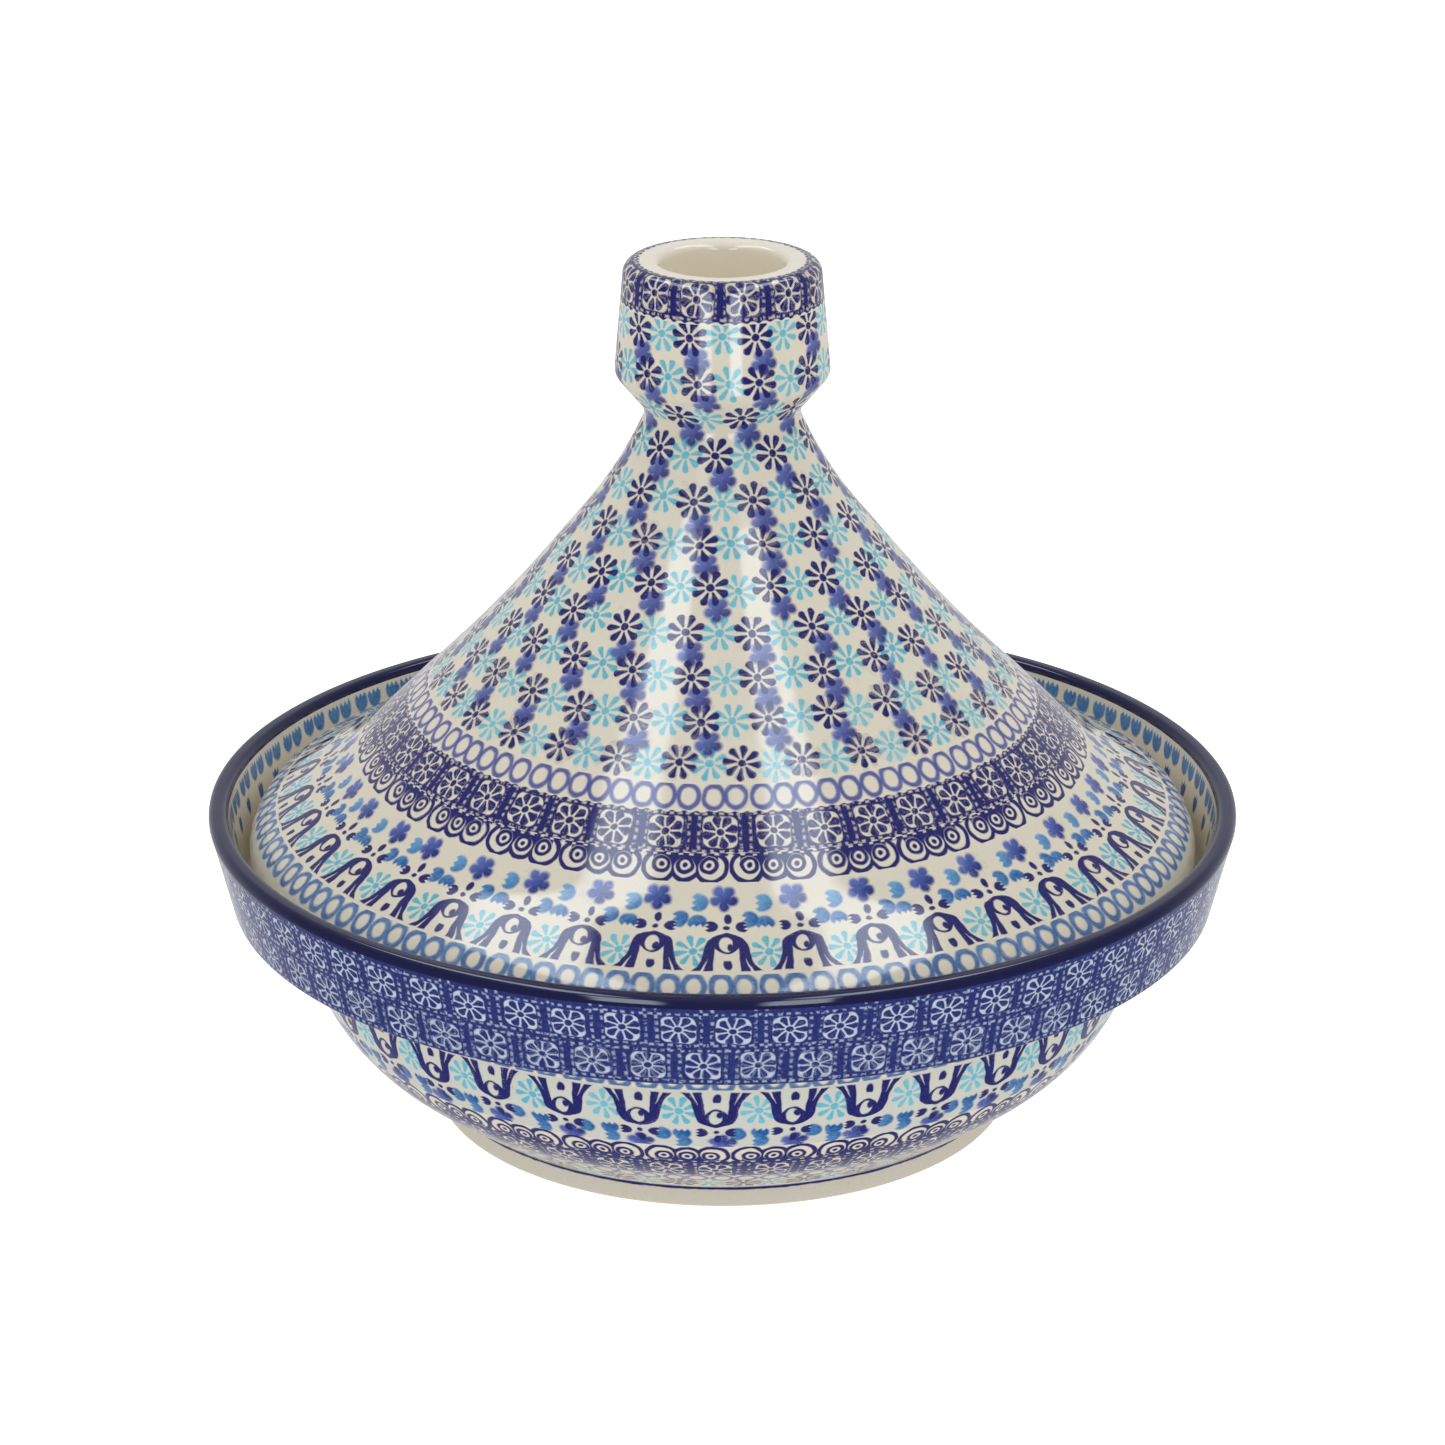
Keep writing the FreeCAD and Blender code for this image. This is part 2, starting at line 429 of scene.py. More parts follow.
def parts(tree, socket):
    """The three numbers of a vector or colour."""
    node = tree.nodes.new("ShaderNodeSeparateXYZ")
    tree.links.new(socket, node.inputs[0])
    return [Field(output) for output in node.outputs]


# ------------------------------------------------------------------ paint
GRAIN_SCALE = 900.0            # grains of the sponge per metre
GRAIN_IN_INK = 0.9             # how far the grain moves an ink between its dark and its light
MOTTLE_FROM = 0.35             # the noise above which the ground turns darker, and how strongly it does
MOTTLE_AMOUNT = 0.35
MOTTLE_DARK = 0.93             # the darker ground, as a share of the ground's colour


def blend(tree, amount, first, second):
    """The colour between two colours. Each is a socket or an sRGB triple."""
    node = tree.nodes.new("ShaderNodeMix")
    node.data_type = "RGBA"
    tree.links.new(amount.socket, node.inputs[0])
    for socket, colour in ((node.inputs[6], first), (node.inputs[7], second)):
        if isinstance(colour, tuple):
            socket.default_value = linear(colour)
        else:
            tree.links.new(colour, socket)
    return node.outputs[2]


class Paint:
    """The colour of a decorated surface, built up by laying one ink over another."""

    def __init__(self, place, ground):
        self.tree = place.tree
        self.grain, mottle, _ = place.noise(GRAIN_SCALE, detail=2.0)
        darker = tuple(channel * MOTTLE_DARK for channel in ground)
        self.colour = blend(self.tree, share((mottle - MOTTLE_FROM) * MOTTLE_AMOUNT), ground, darker)

    def ink(self, dark, light, tone):
        """A sponged ink. The tone runs from 0, dark, to 1, light, and the grain of the sponge varies it."""
        return blend(self.tree, share((self.grain - 0.5) * GRAIN_IN_INK + tone), dark, light)

    def cover(self, dark, light, tone):
        """Covers the whole surface with an ink."""
        self.colour = self.ink(dark, light, tone)

    def lay(self, mask, dark, light=None, tone=None):
        """Covers the surface where the mask is 1, with an ink or with one plain colour."""
        ink = self.ink(dark, light, tone) if light else dark
        self.colour = blend(self.tree, mask, self.colour, ink)


def paint_daisies(paint, place):
    """Rows of navy daisies with turquoise ones half a cell on, and sponge flowers slung between the rows."""
    row = place.row("row")
    x, y, random = place.cell(row, layer=2, phase=0.5, drift=(1.6, 2.0))
    flower = daisy(x, y, petals=8, lean=random[2] * 0.5 + 0.14, thick=1.0)
    paint.lay(inside(flower), TURQUOISE, TURQUOISE_PALE, tone=random[1] * 0.5)
    x, y, random = place.cell(place.row("gap"), layer=1, drift=(1.8, 1.6))
    x, y = x - 2.6, y + random[2] * 1.4 - 0.7
    blot = inside(sponge_flower(x, y), blur=1.1) * 0.95
    paint.lay(blot, SPONGE_DARK, SPONGE_LIGHT, tone=(y - x) * 0.13 + 0.45)
    x, y, random = place.cell(row, layer=1, drift=(1.8, 1.6))
    flower = daisy(x, y, petals=8, lean=random[2] * 0.5 + 0.14)
    paint.lay(inside(flower), NAVY, NAVY_LIGHT, tone=0.02)


TILE_HALF_WIDTH = 5.1
TILE_ROUNDING = 2.2
TILE_FLOWER = 5.5              # radius, which takes the petals to the window's edge and just over it
STITCHES = (1.6, 2.4)          # half the way between two columns of stitches, and the step down a column
STITCH_HALF_SIZE = (0.42, 0.6)
HEM_HALF_SIZE = (0.65, 0.36)   # of the stitches above and below the windows
HEM_AWAY = 1.0
STITCH_GRAIN = 700.0           # per metre
STITCH_STRENGTH = 0.75


def tile_cream(place, petals, half_height):
    """Where tiles are cream: rounded windows, each around a flower, and stitches of dots between them."""
    row = place.row("row")
    x, y, random = place.cell(row, layer=3, drift=(1.5, 0.9))
    window = rounded_square(x, y + x * 0.04, TILE_HALF_WIDTH, half_height, TILE_ROUNDING)
    thick = 11.8 / petals - 0.05    # so that neighbouring petals just miss each other
    tip = TILE_FLOWER - thick
    stretch = TILE_HALF_WIDTH / half_height
    flower = daisy(x, y * stretch, petals, random[2] * 0.7, tip=tip, thin=0.42, thick=thick, dot=1.2)
    cream = inside(window, blur=0.4) * (1.0 - inside(flower))
    x, y, _ = place.cell(row, layer=4, phase=0.5, drift=(0.6, 3.0))
    x, y = size_of(x) - STITCHES[0], repeat(y, STITCHES[1])
    stitch = larger(size_of(x) - STITCH_HALF_SIZE[0], size_of(y) - STITCH_HALF_SIZE[1])
    x, y, _ = place.cell(row, layer=5, per_cell=6.0)
    hem_y = size_of(y) - half_height - HEM_AWAY
    hem = larger(size_of(x) - HEM_HALF_SIZE[0], size_of(hem_y) - HEM_HALF_SIZE[1])
    grain = place.noise(STITCH_GRAIN)[0]
    dots = inside(larger(smaller(stitch, hem), 0.5 - window), blur=0.5) * share(grain * 7 - 2.6)
    return larger(cream, dots * STITCH_STRENGTH)


def paint_tiles(paint, place, half_height=5.1, edge=6.75):
    """A row of tiles on navy ground with frayed edges."""
    x, y, _ = place.cell(place.row("row"), layer=5, per_cell=4.0)
    ground = inside(size_of(y) - (calculate("COSINE", x * 1.9) * 0.3 + edge), blur=0.3)
    paint.lay(ground, NAVY, NAVY_LIGHT, tone=0.05)
    paint.lay(tile_cream(place, petals=8, half_height=half_height) * ground, CREAM)


def paint_knob_tiles(paint, place):
    """The same, a little taller, round the top of the knob."""
    paint_tiles(paint, place, half_height=5.5, edge=7.5)


def paint_collar_tiles(paint, place):
    """A row of tiles in softer colours, on ground that runs on into the next row."""
    paint.cover(COLLAR_NAVY, COLLAR_LIGHT, tone=0.12)
    paint.lay(tile_cream(place, petals=9, half_height=4.7), COLLAR_CREAM)


def paint_rings(paint, place, dark, light, half_width, half_height, stroke):
    """Two sets of oval rings, each set on every other cell, that touch or overlap."""
    row = place.row("row")
    for layer, phase in ((6, 0.0), (7, 0.5)):
        x, y, random = place.cell(row, layer, phase, drift=(1.3, 0.7), per_cell=0.5)
        outline = ring(x, y, half_width, half_height, stroke)
        paint.lay(inside(outline, blur=0.6) * 0.92, dark, light, tone=random[2] * 0.35)


def paint_violet_rings(paint, place):
    """A row of thin violet rings."""
    paint_rings(paint, place, NAVY_LIGHT, VIOLET, half_width=3.05, half_height=3.75, stroke=1.4)


def paint_steel_rings(paint, place):
    """A row of thicker steel-blue rings."""
    paint_rings(paint, place, STEEL_DARK, STEEL_LIGHT, half_width=3.05, half_height=3.8, stroke=1.8)


LACE_SPACING = 7.15            # between the ringed dots
LACE_SCALLOPS = (4.0, 4.65)    # radius of the middle scallop, and of those at its sides
LACE_SPREAD = 0.8              # how much farther out than their dots the side scallops lie
LACE_DROP = 0.7                # how far below their dots all scallops lie
LACE_HALF_STROKE = 0.75
LACE_RING = (1.65, 2.9)        # inner and outer radius of the ring round a dot
LACE_DOT = 0.85                # radius


def paint_lace(paint, place):
    """Scallops in threes, each round a ringed dot, that hang from the tiles above."""
    x, y, _ = place.cell(place.row("row"), layer=8, drift=(0.6, 0.4))
    dot = larger(smaller(calculate("ROUND", x / LACE_SPACING), 1.0), -1.0)
    near = x - dot * LACE_SPACING
    reach = length(near, y)
    radius = size_of(dot) * (LACE_SCALLOPS[1] - LACE_SCALLOPS[0]) + LACE_SCALLOPS[0]
    scallop = length(near - dot * LACE_SPREAD, y + LACE_DROP) - radius
    neighbour = length(size_of(x) - LACE_SPREAD - LACE_SPACING, y + LACE_DROP) - LACE_SCALLOPS[1]
    outline = size_of(smaller(scallop, neighbour)) - LACE_HALF_STROKE
    ringed = larger(reach - LACE_RING[1], LACE_RING[0] - reach)
    fill = smaller(larger(1.2 - y, 3.0 - reach, size_of(x) - LACE_SPACING - 2.6), 3.2 - y)
    x, y, _ = place.cell(place.row("row"), layer=9, drift=(0.6, 0.5), per_cell=7.0)
    speck = larger(size_of(x) - 0.6, size_of(y - 3.6) - 0.3)
    ink = inside(smaller(outline, ringed, reach - LACE_DOT, fill))
    paint.lay(ink * (1.0 - inside(speck)), NAVY, NAVY_LIGHT, tone=0.05)


def paint_arches(paint, place, lift=1.0):
    """Navy arches with crowns of leaves, turquoise daisies between, and sponge flowers and tulips above.

    The lift is how high the flowers and tulips float over the arches, as a share of their height on the lid.
    """
    row = place.row("row")
    x, y, random = place.cell(row, layer=10, phase=0.5, drift=(1.0, 1.0))
    shift = random[2] * 1.6
    flower = daisy(x - 1.4, y + 6.9, petals=8, lean=random[0] * 0.6, thick=1.05)
    paint.lay(inside(flower), TURQUOISE, TURQUOISE_PALE, tone=random[1] * 0.5)
    lying = tulip(x - 2.2 + shift, y - 10.6 * lift, half_width=3.0, depth=5.4)
    hanging = tulip(y - 3.6 * lift, x - 2.6 + shift, half_width=2.9, depth=4.6)
    tulips = inside(smaller(lying, hanging), blur=0.7)
    paint.lay(tulips, STEEL_DARK, STEEL_LIGHT, tone=(y - x) * 0.07 + 0.05)
    x, y, random = place.cell(row, layer=11, drift=(1.0, 0.9))
    side_x, side_y = turned(x - 7.0 + random[2], y - 4.8 * lift, degrees=12)
    leaning = tulip(side_x, side_y, half_width=2.9, depth=5.0)
    paint.lay(inside(leaning, blur=0.7), STEEL_DARK, STEEL_LIGHT, tone=0.35 - side_x * 0.09)
    blot_x, blot_y = x + 2.0 - random[2] * 4.0, y - 12.2 * lift
    blot = inside(sponge_flower(blot_x, blot_y), blur=1.0)
    paint.lay(blot, SPONGE_DARK, SPONGE_LIGHT, tone=(blot_y - blot_x) * 0.12 + 0.5)
    leaf = ellipse(x - 0.4, y - 5.2, half_width=1.15, half_height=1.8)
    bead = ellipse(x, y - 1.9, half_width=1.0, half_height=0.8)
    leaves = tulip(4.9 - size_of(x), y - 2.3, half_width=1.9, depth=3.9, bite=0.3)
    heart = larger(ellipse(x - 0.3, y + 11.5, half_width=1.3, half_height=2.0), y + 10.2)
    stamp = smaller(arch(x, y), leaf, bead, leaves, heart)
    paint.lay(inside(stamp), NAVY, NAVY_LIGHT, tone=0.05)


def paint_bowl_arches(paint, place):
    """The same on the bowl, where the flowers and tulips sit closer to the arches."""
    paint_arches(paint, place, lift=0.62)


def paint_petals(paint, place):
    """On the collar's inside: pairs of steel-blue petals under the rim, and a single drop below."""
    x, y, random = place.cell(place.row("row"), layer=12, drift=(0.8, 0.8))
    pair = tulip(8.0 - y, size_of(x) - 3.2, half_width=3.0, depth=6.6)
    drop = tulip(0.4 - y, x - 0.6, half_width=2.1, depth=6.2, teeth=2)
    petals = inside(smaller(pair, drop), blur=0.7)
    paint.lay(petals, STEEL_DARK, STEEL_LIGHT, tone=y * 0.04 + random[2] * 0.15)


def paint_line(paint, place, half_width=1.3):
    """A single brushed navy line."""
    height, _, _ = place.row("row")
    paint.lay(inside(size_of(height + place.wobble[0] * 0.6) - half_width), NAVY, NAVY_LIGHT, tone=0.1)


def paint_nothing(paint, place):
    """Plain glaze keeps its ground colour."""


# ------------------------------------------------------------------ materials
REFRACTIVE_INDEX = 1.5
GLAZE_ROUGHNESS = 0.07
GLAZE_BUMP = (0.12, 0.4 * MM)  # strength and depth
GLAZE_RIPPLES = 90.0           # per metre
CLAY_ROUGHNESS = 0.75
CLAY_BUMP = (0.35, 0.25 * MM)
CLAY_GRAINS = 1600.0           # per metre
CLAY_SPECKLE = (150, 132, 108)


def new_material(name, roughness):
    """A material with an empty Principled surface, and its tree."""
    material = bpy.data.materials.new(name)
    material.use_nodes = True
    tree = material.node_tree
    surface = tree.nodes["Principled BSDF"]
    surface.inputs["Roughness"].default_value = roughness
    surface.inputs["IOR"].default_value = REFRACTIVE_INDEX
    return material, tree, surface


def roughen(tree, surface, heights, strength, depth):
    """Bump from a field of heights between 0 and 1."""
    bump = tree.nodes.new("ShaderNodeBump")
    bump.inputs["Strength"].default_value = strength
    bump.inputs["Distance"].default_value = depth
    tree.links.new(heights.socket, bump.inputs["Height"])
    tree.links.new(bump.outputs[0], surface.inputs["Normal"])


def glazed(name, painter, ground):
    """Painted stoneware under clear glossy glaze, which set in slow ripples."""
    material, tree, surface = new_material(name, GLAZE_ROUGHNESS)
    place = Place(tree)
    paint = Paint(place, ground)
    painter(paint, place)
    tree.links.new(paint.colour, surface.inputs["Base Color"])
    high, low, _ = place.noise(GLAZE_RIPPLES, detail=0.0)
    roughen(tree, surface, high + low * 0.4, *GLAZE_BUMP)
    return material


def bare_clay():
    """Fired clay with a fine grain, where the glaze was wiped off."""
    material, tree, surface = new_material("bare_clay", CLAY_ROUGHNESS)
    place = Place(tree)
    paint = Paint(place, CLAY)
    grain, speckle, _ = place.noise(CLAY_GRAINS, detail=3.0)
    paint.lay(share((speckle - 0.62) * 6) * 0.35, CLAY_SPECKLE)
    tree.links.new(paint.colour, surface.inputs["Base Color"])
    roughen(tree, surface, grain, *CLAY_BUMP)
    return material


PAINTERS = {
    "tiles": paint_tiles,
    "knob_tiles": paint_knob_tiles,
    "collar_tiles": paint_collar_tiles,
    "daisies": paint_daisies,
    "violet_rings": paint_violet_rings,
    "steel_rings": paint_steel_rings,
    "lace": paint_lace,
    "arches": paint_arches,
    "bowl_arches": paint_bowl_arches,
    "petals": paint_petals,
    "line": paint_line,
    "cream": paint_nothing,
    "cup": paint_nothing,
    "navy": paint_nothing,
}
# The bowl's darker ground is painted shade.
# The cup's lighter ground is painted light.
GROUNDS = {"bowl_arches": BOWL_CREAM_PAINTED_SHADE, "cup": CUP_CREAM_PAINTED_LIGHT, "navy": RIM_NAVY}    # where it isn't cream


def make_materials():
    """Every material of the pot by the name of its pattern."""
    materials = {}
    for pattern, painter in PAINTERS.items():
        materials[pattern] = glazed("glaze_" + pattern, painter, GROUNDS.get(pattern, CREAM))
    materials["bare"] = bare_clay()
    return materials


def linked(name, data):
    """A new object in the scene."""
    thing = bpy.data.objects.new(name, data)
    bpy.context.scene.collection.objects.link(thing)
    return thing


# ------------------------------------------------------------------ turned meshes
ARC_STEP = math.radians(10)
DECORATED_STEP = 2.4           # greatest height of a ring of faces on decorated glaze, in mm
PLAIN_STEP = 5.0
NEAR_MARK = 0.3                # an outline point this close to the edge of a band gives way to it, in mm
COLUMNS = 360                  # faces round each ring
RIBBON = 24.0                  # height of the strips that the skin is cut into for its texture layout, in mm
RIBBON_GAP = 4.0               # room for the last ring to run over, and a margin
PLAIN_DETAIL = 0.3             # how much smaller plain glaze and clay are laid in the texture
PAGE_SPARE = 1.03              # how much wider the texture is than its area asks, as rows end unevenly
NO_CELL = (0.0, 1.0, 0.0)      # what plain faces carry: height from the middle, cells, first cell's place
FAR_FROM_GAP = (99.0, 1.0, 0.0)
UNEVENNESS = 0.3               # the most that hand work takes off a radius, in mm
UNEVEN_RADII = (12.0, 52.0)    # the radii where it begins and where it is full
FINE_STEP = 0.05               # how exactly the zero point is found on the outline, in mm


def rounded(corners):
    """Points along the outline, with each corner's rounding as an arc."""
    points = []
    for i, (radius, height, rounding) in enumerate(corners):
        tip = np.array([radius, height], float)
        if rounding == 0:
            points.append(tip)
            continue
        back = np.subtract(corners[i - 1][:2], tip)
        ahead = np.subtract(corners[i + 1][:2], tip)
        back = back / np.hypot(*back)
        ahead = ahead / np.hypot(*ahead)
        half_angle = math.acos(back @ ahead) / 2
        centre = tip + (back + ahead) / np.hypot(*(back + ahead)) * rounding / math.sin(half_angle)
        start = tip + back * rounding / math.tan(half_angle) - centre
        sweep = math.pi - 2 * half_angle
        sweep *= math.copysign(1, ahead[0] * back[1] - ahead[1] * back[0])
        steps = max(2, math.ceil(abs(sweep) / ARC_STEP), math.ceil(abs(sweep) * rounding / DECORATED_STEP))
        for k in range(steps + 1):
            cosine, sine = math.cos(sweep * k / steps), math.sin(sweep * k / steps)
            points.append(centre + [start[0] * cosine - start[1] * sine, start[0] * sine + start[1] * cosine])
    return np.array(points)


def measured(corners, zero):
    """Points along the outline, the distance along it to each of them, and the distance to its zero point."""
    points = rounded(corners)
    lengths = np.concatenate([[0], np.cumsum(np.hypot(*np.diff(points, axis=0).T))])
    fine = np.arange(0, lengths[-1], FINE_STEP)
    across = np.interp(fine, lengths, points[:, 0]) - zero[0]
    up = np.interp(fine, lengths, points[:, 1]) - zero[1]
    return points, lengths, fine[np.argmin(np.hypot(across, up))]


def ring_places(lengths, marks, decorated):
    """Distances along the outline for the mesh's rings: at every mark, and close enough together between."""
    natural = [s for s in lengths if min(abs(s - m) for m in marks) > NEAR_MARK]
    places = sorted(natural + marks)
    filled = []
    for here, there in zip(places[:-1], places[1:]):
        step = DECORATED_STEP if decorated[0] < here < decorated[1] else PLAIN_STEP
        count = max(1, math.ceil((there - here) / step))
        filled += [here + (there - here) * k / count for k in range(count)]
    return np.array(filled + [places[-1]])


def uneven(radii, heights, angles):
    """Radii with the slight, slow unevenness of hand work, which only ever takes material away."""
    waves = 0.5 + 0.3 * np.sin(2 * angles + 1.1)[None, :] + 0.2 * np.sin(3 * angles + heights[:, None] / 40)
    return radii[:, None] - UNEVENNESS * waves * np.interp(radii, UNEVEN_RADII, (0, 1))[:, None]


def texture_layout(places, widths):
    """Every face's lower left corner and width in the texture, cut in ribbons that are laid row on row."""
    ribbon = np.floor((places[:-1] - places[0]) / RIBBON).astype(int)
    starts = {k: places[:-1][ribbon == k][0] for k in set(ribbon)}
    area = sum(widths[ribbon == k].max() * COLUMNS * (RIBBON + RIBBON_GAP) for k in starts)
    page = math.sqrt(area) * PAGE_SPARE
    corners = np.zeros((len(ribbon), COLUMNS, 2))
    across, row = 0.0, 0
    for k in sorted(starts):
        rings = np.flatnonzero(ribbon == k)
        width = widths[rings].max()
        for column in range(COLUMNS):
            if across + width > page:
                across, row = 0.0, row + 1
            corners[rings, column, 0] = across
            corners[rings, column, 1] = row * (RIBBON + RIBBON_GAP) + places[rings] - starts[k]
            across += width
        across += RIBBON_GAP
    widest = np.array([widths[ribbon == k].max() for k in ribbon])
    return corners, widest, page


def skin_faces(count):
    """Faces of a skin with so many rings of vertices, ring by ring, and then the fans round its two poles."""
    column = np.arange(COLUMNS)
    following = (column + 1) % COLUMNS
    faces = []
    for ring_start in range(0, (count - 1) * COLUMNS, COLUMNS):
        here, there = ring_start, ring_start + COLUMNS
        quads = [here + column, there + column, there + following, here + following]
        faces += np.stack(quads, axis=1).tolist()
    last = (count - 1) * COLUMNS
    poles = np.full(COLUMNS, count * COLUMNS)
    faces += np.stack([poles, column, following], axis=1).tolist()
    faces += np.stack([poles + 1, last + following, last + column], axis=1).tolist()
    return faces


def cell_numbers(band, distance):
    """Height from the band's middle, cells and first cell's place, with signs that turn upside-down bands."""
    if band is None:
        return NO_CELL
    return ((band.middle - distance) * band.way, float(band.count * band.way), band.place)


def gap_numbers(bands, band, middle, distance):
    """The same for the flowers that hang between two daisy rows, which belong to the row above."""
    if band is None or band.pattern != "daisies" or band.way < 0:
        return FAR_FROM_GAP
    rows = [b for b in bands if b.pattern == "daisies"]
    index = rows.index(band)
    owner = index if middle > band.middle else index - 1
    if owner < 0 or owner == len(rows) - 1:
        return FAR_FROM_GAP
    return (rows[owner].end - distance, float(rows[owner].count), rows[owner].place)


def at_corners(pairs):
    """Values for every corner of every face, from the values at the start and at the end of each ring."""
    rings = np.array([[start, end, end, start] for start, end in pairs])
    blanks = np.tile(NO_CELL, (2 * 3 * COLUMNS, 1))
    return np.concatenate([np.repeat(rings[:, None], COLUMNS, axis=1).reshape(-1, 3), blanks])


def texture_detail(band):
    """The scale at which a ring of faces is laid in the texture: full where it is decorated."""
    return PLAIN_DETAIL if band is None or band.pattern in ("cup", "navy") else 1.0


def texture_coordinates(places, radii, detail):
    """The texture's coordinates for every corner of every face."""
    laid = np.concatenate([[0], np.cumsum(np.diff(places) * detail)])
    widths = np.maximum(radii[:-1], radii[1:]) * TURN / COLUMNS * detail
    corners, widest, page = texture_layout(laid, widths)
    rise = np.diff(laid)
    still = np.zeros(len(rise))
    across = np.stack([still, still, widest, widest], axis=1)
    up = np.stack([still, rise, rise, still], axis=1)
    rings = corners[:, :, None] + np.stack([across, up], axis=2)[:, None]
    poles = corners[[0, -1], 0] + [widest[0] / 2, 0.5]
    return np.concatenate([rings.reshape(-1, 2), np.repeat(poles, 3 * COLUMNS, axis=0)]) / page


def skin_vertices(points, radii, heights):
    """Vertices of the rings with these radii and heights, and of the two poles, in metres."""
    angles = (np.arange(COLUMNS) / COLUMNS - 0.25) * TURN
    spread = uneven(radii, heights, angles)
    levels = np.tile(heights[:, None], COLUMNS)
    rings = np.stack([spread * np.cos(angles), spread * np.sin(angles), levels], axis=2)
    poles = np.array([[0, 0, points[0][1]], [0, 0, points[-1][1]]])
    return np.concatenate([rings.reshape(-1, 3), poles]) * MM


def edges_of(bands, bare):
    """Distances from the zero point where a ring of faces has to end, because what it carries changes."""
    edges = [edge for band in bands for edge in (band.start, band.end)]
    edges += [band.middle for band in bands if band.pattern == "daisies"]
    return edges + list(bare)


def plain_pattern(distance, bare):
    """The pattern of faces outside every band."""
    return "bare" if bare[0] < distance < bare[1] else "cream"


def ring_facts(distances, bands, bare):
    """For each ring of faces: its pattern, what its two edges carry, and its scale in the texture."""
    patterns, cells, gaps, detail = [], [], [], []
    for edges in zip(distances[:-1], distances[1:]):
        middle = sum(edges) / 2
        band = next((b for b in bands if b.start < middle < b.end), None)
        patterns.append(band.pattern if band else plain_pattern(middle, bare))
        cells.append([cell_numbers(band, edge) for edge in edges])
        gaps.append([gap_numbers(bands, band, middle, edge) for edge in edges])
        detail.append(texture_detail(band))
    patterns += [plain_pattern(distances[0], bare), plain_pattern(distances[-1], bare)]
    return patterns, cells, gaps, np.array(detail)


def turned_mesh(name, corners, zero, bands, bare, materials):
    """One closed turned piece, with a material for each band and the attributes that its pattern reads."""
    points, lengths, zero_length = measured(corners, zero)
    edges = [edge + zero_length for edge in edges_of(bands, bare)]
    marks = sorted({round(edge, 3) for edge in edges if edge < lengths[-1]})
    decorated = (min(b.start for b in bands) + zero_length, max(b.end for b in bands) + zero_length)
    places = ring_places(lengths, marks, decorated)[1:-1]
    radii = np.interp(places, lengths, points[:, 0])
    heights = np.interp(places, lengths, points[:, 1])
    patterns, cells, gaps, detail = ring_facts(places - zero_length, bands, bare)

    mesh = bpy.data.meshes.new(name)
    mesh.from_pydata(skin_vertices(points, radii, heights).tolist(), [], skin_faces(len(places)))
    mesh.polygons.foreach_set("use_smooth", [True] * len(mesh.polygons))
    for material in materials.values():
        mesh.materials.append(material)
    slots = [list(materials).index(pattern) for pattern in patterns]
    mesh.polygons.foreach_set("material_index", np.repeat(slots, COLUMNS))
    for label, pairs in (("row", cells), ("gap", gaps)):
        data = mesh.attributes.new(label, "FLOAT_VECTOR", "CORNER")
        data.data.foreach_set("vector", at_corners(pairs).astype(np.float32).ravel())
    uv = mesh.uv_layers.new(name="OFBake")
    uv.data.foreach_set("uv", texture_coordinates(places, radii, detail).astype(np.float32).ravel())
    mesh.update()
    return linked(name, mesh)


def daisy_rows():
    """The daisy bands down the lid, with as many cells in each as fit round the cone there."""
    points, lengths, zero_length = measured(LID_OUTLINE, LID_ZERO)
    rows = []
    for k in range(DAISY_ROWS):
        middle = DAISY_FIRST + DAISY_PITCH * k
        radius = np.interp(middle + zero_length, lengths, points[:, 0])
        start = max(DAISY_EDGES[0], middle - DAISY_PITCH / 2)
        end = min(DAISY_EDGES[1], middle + DAISY_PITCH / 2)
        cells = round(TURN * radius / DAISY_SPACING)
        rows.append(Band("daisies", start, end, middle, cells, (DAISY_SHIFT * k) % 1, 1))
    return rows


def make_pieces():
    """The dish and the lid, in place of the CAD nodes that they cover."""
    materials = make_materials()
    lid_bands = LID_BANDS + daisy_rows()
    dish = turned_mesh("painted_dish", DISH_OUTLINE, DISH_ZERO, DISH_BANDS, DISH_BARE, materials)
    lid = turned_mesh("painted_lid", LID_OUTLINE, LID_ZERO, lid_bands, LID_BARE, materials)
    dish_names = ("dish", "base_dish", "dish_glaze")
    lid_names = ("lid", "lid", "lid_glaze")
    for piece, (body, node, slot) in ((dish, dish_names), (lid, lid_names)):
        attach(piece, body)
        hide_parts(node)


# ------------------------------------------------------------------ studio
FLOOR_HALF = 6.0               # in m
FLOOR_COLOUR = (250, 250, 250)
FLOOR_ROUGHNESS = 0.9
FLOOR_GLOW = (0.4, 0.7)        # how much the floor lights the pot, and how much it glows to the camera
CAMERA_SENSOR = 36.0
CAMERA_LENS = 113.85
CAMERA_CLIP = (0.01, 50.0)
CAMERA_PITCH = math.radians(20.74)
CAMERA_DISTANCE = 1.4713       # in m, as are the heights and distances below
AIM_HEIGHT = 0.12642
STRIP_DISTANCE = 1.05
STRIP_STEPS = 48
STRIP_HALF_WIDTH = 0.13        # sideways, as a share of the distance
STRIPS = (                     # name, and how far to the side it lies at its low end and at its high end
    ("strip_light_left", -0.31, -0.48),
    ("strip_light_right", 0.24, 0.39),
)
STRIP_ARC = (-10, 120)         # degrees above the horizon in front
STRIP_DIM = (0.35, 0.52)       # the stretch of a strip that shines weakly, as shares of its length
STRIP_DIM_LEVEL = 0.3
STRIP_EDGE = 3.0               # how steeply a strip brightens from its long edges to its middle
STRIP_COLOUR = (0.84, 0.92, 1.0, 1.0)
STRIP_LIGHT = 1.1              # how bright the strips light the pot
STRIP_MIRRORED = 6.0           # how bright the glaze mirrors them


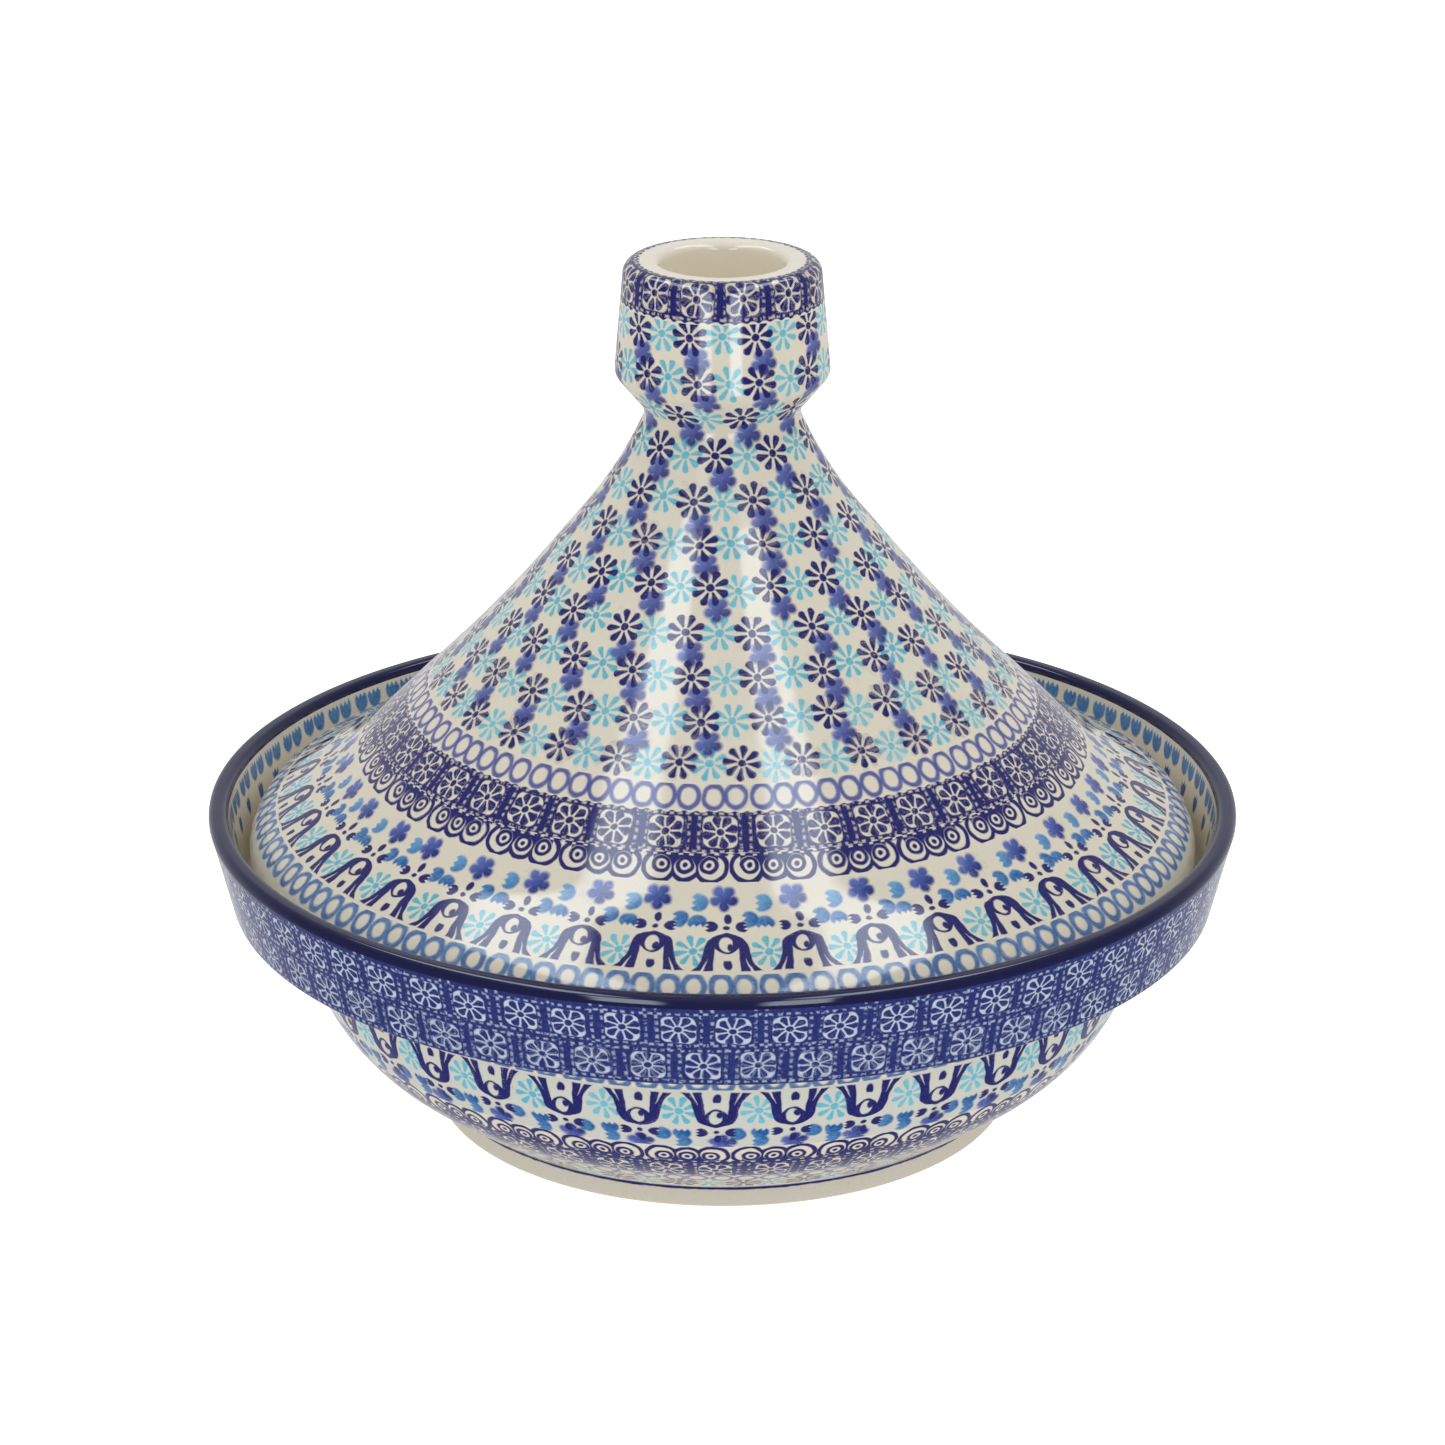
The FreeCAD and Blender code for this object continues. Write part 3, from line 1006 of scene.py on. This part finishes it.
def make_camera():
    """The camera, which looks down at the pot from the front."""
    camera = linked("camera", bpy.data.cameras.new("camera"))
    camera.data.lens = CAMERA_LENS
    camera.data.sensor_width = CAMERA_SENSOR
    camera.data.clip_start, camera.data.clip_end = CAMERA_CLIP
    back = Vector((0, -math.cos(CAMERA_PITCH), math.sin(CAMERA_PITCH)))
    camera.location = Vector((0, 0, AIM_HEIGHT)) + back * CAMERA_DISTANCE
    camera.rotation_mode = "QUATERNION"
    camera.rotation_quaternion = (-back).to_track_quat("-Z", "Y")
    bpy.context.scene.camera = camera


def make_floor():
    """A plain pale floor that glows a little, so that its far parts look as white as the world behind it."""
    mesh = bpy.data.meshes.new("floor")
    h = FLOOR_HALF
    mesh.from_pydata([(-h, -h, 0), (h, -h, 0), (h, h, 0), (-h, h, 0)], [], [(0, 1, 2, 3)])
    floor = linked("floor", mesh)
    material, tree, surface = new_material("pale_floor", FLOOR_ROUGHNESS)
    surface.inputs["Base Color"].default_value = linear(FLOOR_COLOUR)
    surface.inputs["Specular IOR Level"].default_value = 0.0
    surface.inputs["Emission Color"].default_value = (1.0, 1.0, 1.0, 1.0)
    seen = Field(tree.nodes.new("ShaderNodeLightPath").outputs["Is Camera Ray"])
    glow = seen * (FLOOR_GLOW[1] - FLOOR_GLOW[0]) + FLOOR_GLOW[0]
    tree.links.new(glow.socket, surface.inputs["Emission Strength"])
    mesh.materials.append(material)
    floor.location.z = cad_box[0].z
    floor.visible_glossy = False


def make_strip(name, low, high):
    """A long strip light that arches over the pot from front to top, for the streaks on the glaze."""
    vertices, levels = [], []
    for k in range(STRIP_STEPS + 1):
        along = k / STRIP_STEPS
        dim = STRIP_DIM[0] < along < STRIP_DIM[1]
        levels += [0.0, STRIP_DIM_LEVEL / STRIP_EDGE if dim else 1.0, 0.0]
        angle = math.radians(STRIP_ARC[0] + (STRIP_ARC[1] - STRIP_ARC[0]) * along)
        for across in (-1, 0, 1):
            sideways = low + (high - low) * along ** 2 + across * STRIP_HALF_WIDTH
            forward = math.sqrt(1 - sideways * sideways)
            vertices.append(Vector((sideways, -forward * math.cos(angle), forward * math.sin(angle))))
    corners = [3 * k + side for k in range(STRIP_STEPS) for side in (0, 1)]
    mesh = bpy.data.meshes.new(name)
    mesh.from_pydata([v * STRIP_DISTANCE for v in vertices], [], [(c, c + 1, c + 4, c + 3) for c in corners])
    brightness = mesh.attributes.new("brightness", "FLOAT", "POINT")
    brightness.data.foreach_set("value", levels)
    strip = linked(name, mesh)
    strip.location.z = (cad_box[0].z + cad_box[1].z) / 2
    strip.visible_camera = False
    mesh.materials.append(strip_glow(name))


def strip_glow(name):
    """Light that fades out over the strip's long edges, and looks brighter in a mirror than it shines."""
    material = bpy.data.materials.new(name)
    material.use_nodes = True
    tree = material.node_tree
    tree.nodes.remove(tree.nodes["Principled BSDF"])
    glow = tree.nodes.new("ShaderNodeEmission")
    attribute_node = tree.nodes.new("ShaderNodeAttribute")
    attribute_node.attribute_name = "brightness"
    glossy = Field(tree.nodes.new("ShaderNodeLightPath").outputs["Is Glossy Ray"])
    glow.inputs["Color"].default_value = STRIP_COLOUR
    level = glossy * (STRIP_MIRRORED - STRIP_LIGHT) + STRIP_LIGHT
    level = level * share(Field(attribute_node.outputs["Fac"]) * STRIP_EDGE)
    tree.links.new(level.socket, glow.inputs["Strength"])
    tree.links.new(glow.outputs[0], tree.nodes["Material Output"].inputs["Surface"])
    return material


WORLD_LIGHT = (0.32, 1.25)     # what lights the pot, from the horizon and from straight above
FRONT_MIRRORED = 0.18          # what the glaze mirrors in front, straight above and behind
TOP_MIRRORED = 0.45
BACK_MIRRORED = 0.65
BACK_FROM = (0.2, 0.85)        # how far back that light starts and is full, in a room of radius 1
BACK_UNDER = (0.75, 0.25)      # and the heights where it starts and is full


def make_world():
    """Soft light from above. The camera sees plain white, and the glaze mirrors a darker room."""
    world = bpy.data.worlds.new("studio")
    bpy.context.scene.world = world
    world.use_nodes = True
    tree = world.node_tree
    background = tree.nodes["Background"]
    background.inputs["Color"].default_value = (1.0, 1.0, 1.0, 1.0)
    direction = tree.nodes.new("ShaderNodeTexCoord").outputs["Generated"]
    _, y, z = parts(tree, direction)
    behind = ramp(y, *BACK_FROM) * ramp(z, *BACK_UNDER)
    above = share(z) * share(z)
    mirrored = behind * (BACK_MIRRORED - FRONT_MIRRORED) + FRONT_MIRRORED
    mirrored = mirrored + above * (TOP_MIRRORED - FRONT_MIRRORED)
    rays = tree.nodes.new("ShaderNodeLightPath")
    glossy = Field(rays.outputs["Is Glossy Ray"])
    seen = Field(rays.outputs["Is Camera Ray"])
    light = share(z) * (WORLD_LIGHT[1] - WORLD_LIGHT[0]) + WORLD_LIGHT[0]
    level = glossy * (mirrored - light) + light
    level = seen * (1.0 - level) + level
    tree.links.new(level.socket, background.inputs["Strength"])


bpy.context.scene.view_settings.view_transform = "Standard"
make_camera()
make_pieces()
make_floor()
for strip_name, low_end, high_end in STRIPS:
    make_strip(strip_name, low_end, high_end)
make_world()
